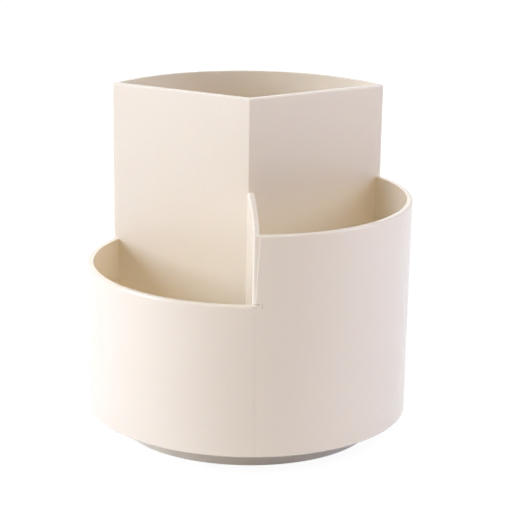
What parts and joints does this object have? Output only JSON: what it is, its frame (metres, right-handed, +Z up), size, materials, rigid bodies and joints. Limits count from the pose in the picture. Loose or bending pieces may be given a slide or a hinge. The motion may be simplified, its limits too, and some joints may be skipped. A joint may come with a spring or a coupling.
{
  "type": "rotating desk organizer",
  "caption": "Round cream plastic desk organizer with three open sector compartments of stepped heights, turning on a ring of balls over a low round base.",
  "frame": {"origin": "centre of the underside, on the surface that the pads stand on", "axes": "+Z up along the turning axis; -Y towards the front divider between the low and the medium compartment; the tall compartment is at +Y"},
  "size_m": [0.1215, 0.1222, 0.126],
  "materials": {
    "cup_plastic": "cream, satin to semi-gloss, moulded",
    "base_plastic": "cream, satin, moulded",
    "inner_plastic": "cream, matt, moulded",
    "cage_plastic": "white acetal, matt",
    "screw_steel": "zinc-plated",
    "washer_steel": "zinc-plated",
    "ball_steel": "polished",
    "pad_rubber": "matt grey EVA foam"
  },
  "bodies": {
    "base": {"base_shell": "base_plastic", "foot_pad_1": "pad_rubber", "foot_pad_2": "pad_rubber", "foot_pad_3": "pad_rubber", "foot_pad_4": "pad_rubber"},
    "organizer": {"organizer_body": "cup_plastic", "turntable_plate": "inner_plastic", "pivot_bolt": "screw_steel", "pivot_washer": "washer_steel", "plate_screw_1": "screw_steel", "plate_screw_2": "screw_steel", "plate_screw_3": "screw_steel", "plate_screw_4": "screw_steel"},
    "ball_ring": {"ball_cage": "cage_plastic", "ball_01": "ball_steel", "ball_02": "ball_steel", "ball_03": "ball_steel", "ball_04": "ball_steel", "ball_05": "ball_steel", "ball_06": "ball_steel", "ball_07": "ball_steel", "ball_08": "ball_steel", "ball_09": "ball_steel", "ball_10": "ball_steel", "ball_11": "ball_steel", "ball_12": "ball_steel"}
  },
  "joints": [
    {"name": "organizer_spin", "type": "hinge", "parent": "base", "child": "organizer", "pos_m": [0, 0, 0.009], "axis": [0, 0, 1], "continuous": true},
    {"name": "ball_ring_spin", "type": "hinge", "parent": "base", "child": "ball_ring", "pos_m": [0, 0, 0.00826], "axis": [0, 0, 1], "continuous": true}
  ],
  "couplings": [
    {"joint": "ball_ring_spin", "follows": "organizer_spin", "ratio": 0.4142}
  ]
}
